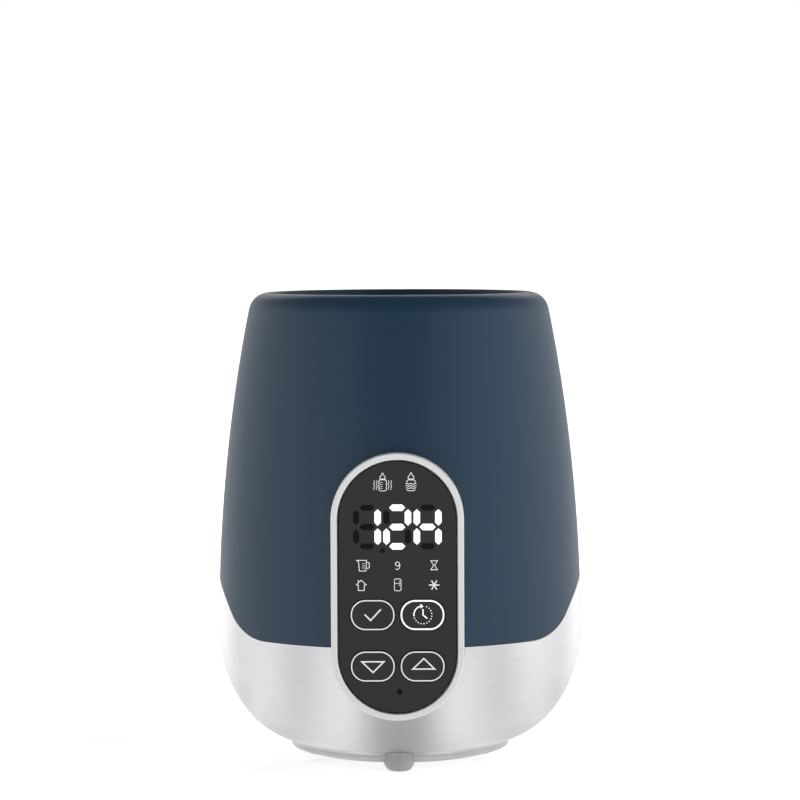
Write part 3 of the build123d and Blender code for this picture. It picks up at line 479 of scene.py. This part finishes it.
def sharp_edges(node, keep):
    """Chains of points along a CAD node's sharp edges that pass a test on both ends."""
    work = bmesh.new()
    work.from_mesh(NODES[node].data)
    bmesh.ops.remove_doubles(work, verts=work.verts, dist=0.002 * MM)
    links = {}
    for edge in work.edges:
        sharp = len(edge.link_faces) == 2 and edge.calc_face_angle(0) > SHARP
        if sharp and all(keep(v.co) for v in edge.verts):
            for near, far in (edge.verts, reversed(edge.verts)):
                links.setdefault(near, []).append(far)
    chains, used = [], set()
    for start in sorted(links, key=lambda v: (len(links[v]), v.index)):
        if start in used:
            continue
        chain, at = [], start
        while at:
            used.add(at)
            chain.append(at.co.copy())
            at = next((v for v in links[at] if v not in used), None)
        chains.append(chain)
    work.free()
    return [chain for chain in chains if len(chain) > SHORTEST_CHAIN]


def steel_hem():
    """The steel's upper edge, rolled over, in a lighter steel than the bowl: a painted highlight."""
    seam_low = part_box("upper_shell")[0].z - 0.6 * MM
    tube_radius, set_in, set_down = 0.28 * MM, 0.16 * MM, 0.12 * MM
    skin = 0.15 * MM

    def on_edge(point):
        """Whether a point is on the steel's outer surface, at or above the seam."""
        radius = sqrt(point.x * point.x + point.y * point.y)
        outside = CAD_BOX[1].x - (point.z - WAIST) ** 2 / (2 * SIDE_RADIUS) - skin
        return point.z > seam_low and radius > outside

    line = bpy.data.curves.new("steel_hem", "CURVE")
    line.dimensions = "3D"
    line.bevel_depth = tube_radius
    line.bevel_resolution = 3
    line.use_fill_caps = True
    for chain in sharp_edges("steel_cover", on_edge):
        spline = line.splines.new("POLY")
        spline.points.add(len(chain) - 1)
        for knot, point in zip(spline.points, chain):
            inward = Vector((point.x, point.y, 0)).normalized() * set_in
            knot.co = (*(point - inward - Vector((0, 0, set_down))), 1)
    hem = bpy.data.objects.new("steel_hem", line)
    bpy.context.scene.collection.objects.link(hem)
    line.materials.append(HEM_STEEL_PAINTED_HIGHLIGHT)
    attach(hem, "warmer")


steel_hem()

# ---------------------------------------------------------------- digit display, in panel millimetres
DIGIT_CENTRES = (-11.06, 0.0, 11.08)
DIGIT_HEIGHT = 95.03
LIT_WIDTH, LIT_LENGTH, LIT_UPRIGHT_LENGTH = 2.4, 5.9, 6.05
DARK_WIDTH, DARK_LENGTH = 2.2, 5.6
SEGMENTS = {
    "a": (0, 7.07, 0), "b": (3.93, 3.5, 1), "c": (3.93, -3.5, 1), "d": (0, -7.07, 0),
    "e": (-3.93, -3.5, 1), "f": (-3.93, 3.5, 1), "g": (0, 0, 0),
}
SHOWN = ("bc", "abged", "fgbce")


def segment(centre, upright, length, width):
    """A bar with pointed ends."""
    point = 1.15
    half, side = length / 2, width / 2
    bar = [(-half, 0), (-half + point, -side), (half - point, -side), (half, 0),
           (half - point, side), (-half + point, side)]
    if upright:
        bar = [(-y, x) for x, y in bar]
    return [placed(*centre, bar)]


lit_bars, dark_bars = [], []
for digit_x, shown in zip(DIGIT_CENTRES, SHOWN):
    for letter, (dx, dz, upright) in SEGMENTS.items():
        place = (digit_x + dx, DIGIT_HEIGHT + dz)
        if letter in shown:
            lit_bars.append(segment(place, upright, LIT_UPRIGHT_LENGTH if upright else LIT_LENGTH, LIT_WIDTH))
        else:
            dark_bars.append(segment(place, upright, DARK_LENGTH, DARK_WIDTH))
printed("digit_bars_lit", lit_bars, FASCIA_FACE, LIT, "warmer")
# The decimal point, the drop-shaped mark near the fascia's foot, and a dark line round the fascia's edge,
# which is painted shade in the gap to the bezel.
drop_x, drop_z = 0.64, 34.5
drop = [arc((drop_x, drop_z), 1.0, 150, 390, 20) + [(drop_x, drop_z + 1.5)]]
dark_bars += [[arc((-5.37, 86.4), 0.9, 0, 345, 23)], drop]
# Painted shade: a dark line of unlit-segment black along the fascia's edge, where the gap to the bezel lies
# in shade.
painted_gap_shade = 0.34
fascia_size = (FASCIA_HIGH - FASCIA_LOW) / MM
fascia_height = (FASCIA_HIGH + FASCIA_LOW).z / 2 / MM
fascia_edge = round_box((0, fascia_height), fascia_size.x - painted_gap_shade, fascia_size.z - painted_gap_shade,
                        (fascia_size.x - painted_gap_shade) / 2 - 0.01, 32)
dark_bars.append(stroke(fascia_edge, painted_gap_shade, closed=True))
printed("dark_bars_and_painted_gap_shade", dark_bars, FASCIA_FACE, UNLIT, "warmer")


def ripple(start, end, height, waves, steps=18):
    """A wavy path from start to end, both (x, z)."""
    dx, dz = end[0] - start[0], end[1] - start[1]
    size = sqrt(dx * dx + dz * dz)
    path = []
    for i in range(steps + 1):
        along = i / steps
        swing = height * sin(2 * pi * waves * along) / size
        path.append((start[0] + dx * along - dz * swing, start[1] + dz * along + dx * swing))
    return path


def teat(x, z, size):
    """Outline of a bottle's teat, its base centred at (x, z)."""
    return [(x - 1.0 * size, z), (x - 1.1 * size, z + 0.75 * size), (x - 0.35 * size, z + 1.6 * size),
            (x - 0.22 * size, z + 2.25 * size), (x + 0.22 * size, z + 2.25 * size),
            (x + 0.35 * size, z + 1.6 * size), (x + 1.1 * size, z + 0.75 * size), (x + 1.0 * size, z)]


# ---------------------------------------------------------------- icons above and below the digits
LINE, WAVE_LINE, SCALE_LINE, FINE_LINE, BOLD_LINE = 0.25, 0.21, 0.17, 0.20, 0.27
heat_x, water_x, teat_base = -5.27, 5.08, 112.62
heat_icon = [
    stroke(round_box((heat_x, 110.3), 2.75, 4.1, 0.75, 5), LINE, closed=True),
    stroke(teat(heat_x, teat_base, 0.92), LINE, closed=True),
]
for z in (109.2, 109.9, 110.6, 111.3):
    heat_icon.append(stroke([(heat_x - 1.0, z), (heat_x - 0.1, z)], SCALE_LINE))
for x in (heat_x - 3.1, heat_x - 2.15, heat_x + 2.15, heat_x + 3.1):
    heat_icon.append(stroke(ripple((x, 108.75), (x, 112.05), 0.17, 2), WAVE_LINE))

shoulders = [(-1.55, 111.35), (-1.45, 111.95), (-0.95, 112.28),
             (0.95, 112.28), (1.45, 111.95), (1.55, 111.35)]
foot = [(-1.5, 108.75), (-1.05, 108.3), (1.05, 108.3), (1.5, 108.75)]
water_icon = [
    stroke(teat(water_x, teat_base, 0.98), LINE, closed=True),
    stroke(placed(water_x, 0, shoulders), LINE),
]
for z, width in ((110.85, 1.85), (110.05, 1.9), (109.25, 1.75)):
    water_icon.append(stroke(ripple((water_x - width, z), (water_x + width, z), 0.16, 2.5), LINE))
water_icon.append(stroke(placed(water_x, 0, foot), LINE))
printed("mode_icons", heat_icon + water_icon, FASCIA_FACE, PAINTED_GLOW_PRINT, "warmer")

cup_at, glass_at = (-12.7, 80.85), (13.4, 81.0)
house_x, fridge_at, flake_at = -13.2, (0.1, 73.85), (13.4, 73.75)
cup_body = [(-2.1, 2.0), (-1.45, 1.35), (-1.2, -1.9), (1.2, -1.9), (1.45, 2.0)]
cup_handle = [(1.75, 1.3), (2.5, 1.0), (2.4, -0.7), (1.65, -1.0)]
cup = [stroke(placed(*cup_at, cup_body), 0.28, closed=True)]
cup += [stroke(placed(*cup_at, [(-0.1, dz), (0.75, dz)]), FINE_LINE) for dz in (-0.8, 0.0, 0.8)]
cup.append(stroke(placed(*cup_at, cup_handle), BOLD_LINE))
nine = [
    stroke(arc((0.03, 81.5), 0.74, 0, 345, 23), BOLD_LINE, closed=True),
    stroke([(0.92, 81.3), (0.86, 80.5), (0.55, 79.75), (-0.05, 79.45), (-0.62, 79.7)], BOLD_LINE),
]
glass_outline = [(-1.2, 1.65), (1.2, 1.65), (0.2, 0), (1.2, -1.65), (-1.2, -1.65), (-0.2, 0)]
hourglass = [stroke(placed(*glass_at, glass_outline), BOLD_LINE, closed=True)]
house_outline = [(0, 75.55), (1.75, 73.95), (1.1, 73.75), (1.1, 71.8), (-1.1, 71.8), (-1.1, 73.75),
                 (-1.75, 73.95), (-1.05, 74.6), (-1.05, 75.35), (-0.65, 74.98)]
house = [stroke(placed(house_x, 0, house_outline), 0.3, closed=True)]
fridge = [
    stroke(round_box(fridge_at, 2.4, 4.35, 0.5, 4), 0.26, closed=True),
    stroke(placed(*fridge_at, [(-0.9, 0.5), (0.9, 0.5)]), 0.22),
    stroke(placed(*fridge_at, [(0.62, 1.0), (0.62, 1.4)]), FINE_LINE),
    stroke(placed(*fridge_at, [(0.62, -0.4), (0.62, 0.05)]), FINE_LINE),
]
flake_loop = []
for arm in range(0, 360, 60):
    flake_loop.append(on_circle(flake_at, 0.46, arm - 30))
    flake_loop += arc(on_circle(flake_at, 1.75, arm), 0.22, arm - 90, arm + 90, 6)
printed("function_icons", cup + nine + hourglass + house + fridge + [[flake_loop]], FASCIA_FACE, PAINTED_GLOW_PRINT,
        "warmer")

# ---------------------------------------------------------------- key prints
KEY_X, UPPER_ROW, LOWER_ROW = 9.1, 62.8, 43.9
OUTLINE_WIDTH, OUTLINE_HEIGHT, OUTLINE_CORNER = 15.95, 11.0, 5.3


def key_print(key, x, z, marks, line=0.43, material=PAINTED_GLOW_PRINT):
    """The pill-shaped line round a key and the marks inside it, riding on the key."""
    pill = round_box((x, z), OUTLINE_WIDTH - line, OUTLINE_HEIGHT - line, OUTLINE_CORNER - line / 2, 12)
    printed(f"{key}_key_print", [stroke(pill, line, closed=True)] + marks, KEY_FACE, material,
            f"{key}_button")


tick = placed(-KEY_X, UPPER_ROW, [(-2.8, 0.1), (-0.75, -1.95), (2.9, 2.0)])
key_print("ok", -KEY_X, UPPER_ROW, [stroke(tick, 0.52)])
down_mark = placed(-KEY_X, LOWER_ROW, [(-4.0, 1.75), (0.05, -2.2), (4.05, 1.75)])
key_print("down", -KEY_X, LOWER_ROW, [stroke(down_mark, 0.5, closed=True)])
up_mark = placed(KEY_X, LOWER_ROW, [(-3.6, -0.95), (4.4, -0.95), (0.45, 2.9)])
key_print("up", KEY_X, LOWER_ROW, [stroke(up_mark, 0.5, closed=True)])

# The timer's mark is a clock: an arc with an arrowhead, two hands, and dots round the rest of the dial.
clock, dial_radius, clock_line = (KEY_X + 0.15, UPPER_ROW + 0.05), 3.28, 0.44
arrowhead = [(0.15, 3.2), (-0.95, 4.15), (-0.75, 2.25)]
hands = [(0.05, 1.95), (0.05, -0.05), (1.45, -1.2)]
timer_marks = [
    stroke(arc(clock, dial_radius, 186, 108, 14), clock_line),
    [placed(*clock, arrowhead)],
    stroke(placed(*clock, hands), clock_line),
]
timer_marks += [[arc(on_circle(clock, dial_radius, 66 - 18.67 * dot), 0.22, 0, 330, 11)] for dot in range(13)]
key_print("timer", KEY_X, UPPER_ROW, timer_marks, 0.58, BRIGHT_PAINTED_GLOW_PRINT)

# ---------------------------------------------------------------- camera, light and floor
# The camera was solved from the photograph: it looks slightly down on the panel from just right of it.
YAW, HEADING, ROLL = radians(0.70), radians(0.671), radians(0.225)
DISTANCE, EYE_HEIGHT, TILT = 1.206, 0.2066, radians(3.289)
FOCAL_PIXELS, PICTURE_PIXELS, SENSOR = 3123.7, 800, 36
view = bpy.data.cameras.new("camera")
view.lens = SENSOR * FOCAL_PIXELS / PICTURE_PIXELS
view.sensor_width = SENSOR
view.clip_start = 0.01
camera = bpy.data.objects.new("camera", view)
camera.location = (DISTANCE * sin(YAW), -DISTANCE * cos(YAW), EYE_HEIGHT)
camera.rotation_euler = (pi / 2 - TILT, ROLL, HEADING)
bpy.context.scene.collection.objects.link(camera)
bpy.context.scene.camera = camera


def area_light(name, place, target, size, power, glossy=False):
    """A soft rectangular light aimed at a point."""
    data = bpy.data.lights.new(name, "AREA")
    data.shape = "RECTANGLE"
    data.size, data.size_y = size
    data.energy = power
    lamp = bpy.data.objects.new(name, data)
    lamp.location = place
    lamp.rotation_euler = (Vector(target) - Vector(place)).to_track_quat("-Z", "Y").to_euler()
    lamp.visible_glossy = glossy
    bpy.context.scene.collection.objects.link(lamp)


area_light("right_softbox", (1.6, -0.9, 1.1), (0, 0, 0.1), (1.0, 1.0), 15)
area_light("left_softbox", (-1.7, -0.9, 1.3), (0, 0, 0.1), (1.0, 1.0), 5)
area_light("rim_strip", (0, 1.6, 1.0), (0, 0, 0.17), (1.4, 0.3), 4, glossy=True)


# Grey levels of the surroundings: by degrees from the front, and by how far a surface faces sideways.
AROUND = ((0, 0.12), (14, 0.20), (27, 0.62), (40, 1.0), (52, 1.06), (68, 0.76), (82, 0.98), (98, 1.24),
          (112, 1.18), (126, 0.92), (142, 1.3), (180, 1.4))
ACROSS = ((0, 0.46), (0.08, 0.50), (0.14, 0.62), (0.20, 0.84), (0.26, 0.98), (0.34, 0.98), (0.42, 0.87),
          (0.51, 0.75), (0.58, 0.81), (0.66, 0.95), (0.74, 0.97), (0.83, 0.84), (0.88, 0.93), (0.92, 1.4),
          (1, 1.9))


def grey_ramp(owner, value, interpolation, stops, full=1):
    """Grey levels at places out of full, as a colour socket. Blender holds the levels at 1 at most."""
    ramp = owner.node_tree.nodes.new("ShaderNodeValToRGB")
    ramp.color_ramp.interpolation = interpolation
    for _ in stops[2:]:
        ramp.color_ramp.elements.new(0.5)
    for element, (place, level) in zip(ramp.color_ramp.elements, stops):
        element.position = place / full
        element.color = (level, level, level, 1)
    owner.node_tree.links.new(value, ramp.inputs["Fac"])
    return ramp.outputs["Color"]


def studio_world():
    """Soft surroundings by compass direction: dim in front and overhead, white beside and behind."""
    world = bpy.data.worlds.new("studio")
    world.use_nodes = True
    nodes, links = world.node_tree.nodes, world.node_tree.links
    place = nodes.new("ShaderNodeTexCoord")
    axes = nodes.new("ShaderNodeSeparateXYZ")
    links.new(place.outputs["Generated"], axes.inputs["Vector"])
    right, back, up = (axes.outputs[axis] for axis in "XYZ")

    # Level rays see a ring of grey levels by their turn from the front, raised on the right.
    from_front = maths(world, "ARCTAN2", right, maths(world, "MULTIPLY", back, -1.0))
    turn = maths(world, "DIVIDE", maths(world, "ABSOLUTE", from_front), pi)
    around = grey_ramp(world, turn, "B_SPLINE", AROUND, 180)
    level = scaled(world, around, spread(world, right, 1.0, 1.24, 0.70, 0.98, smooth=True))

    # Rays that leave the bowl downwards see levels by how far it faces sideways there, raised at the sides.
    half_way = maths(world, "SQRT", maths(world, "MULTIPLY_ADD", back, -2.0, 2.0))
    facing_sideways = maths(world, "DIVIDE", maths(world, "ABSOLUTE", right), half_way)
    across = grey_ramp(world, facing_sideways, "CARDINAL", ACROSS)
    brim = scaled(world, across, spread(world, facing_sideways, 1.0, 1.65, 0.88, 0.96))

    # The mix node's colour sockets are inputs 6 and 7 and output 2.
    blend = nodes.new("ShaderNodeMix")
    blend.data_type = "RGBA"
    links.new(spread(world, up, 0.0, 1.0, 0.0, -0.14, smooth=True), blend.inputs["Factor"])
    links.new(level, blend.inputs[6])
    links.new(brim, blend.inputs[7])
    links.new(blend.outputs[2], nodes["Background"].inputs["Color"])
    links.new(spread(world, up, 1.0, 0.18, 0.1, 0.75, smooth=True), nodes["Background"].inputs["Strength"])
    bpy.context.scene.world = world


studio_world()
bpy.context.scene.view_settings.view_transform = "Standard"


def pale_floor():
    """A plain pale floor that meets the white behind it, a little dimmer close to the warmer."""
    reach = 60.0
    corners = [(-reach, -reach, 0), (reach, -reach, 0), (reach, reach, 0), (-reach, reach, 0)]
    mesh = bpy.data.meshes.new("floor")
    mesh.from_pydata(corners, [], [[0, 1, 2, 3]])
    floor = bpy.data.objects.new("floor", mesh)
    bpy.context.scene.collection.objects.link(floor)
    pale = new_material("floor", (0.88, 0.88, 0.88), 0.6, Emission_Color=(1, 1, 1, 1))
    cloud = noise(pale, 2, detail=2)
    tint(pale, cloud, (0.87, 0.87, 0.87), (0.88, 0.88, 0.88))
    feed(pale, "Emission Strength", spread(pale, coordinate(pale, "R"), 0.58, 1.0, 0.12, 1.2))
    mesh.materials.append(pale)
    floor.visible_glossy = False


pale_floor()
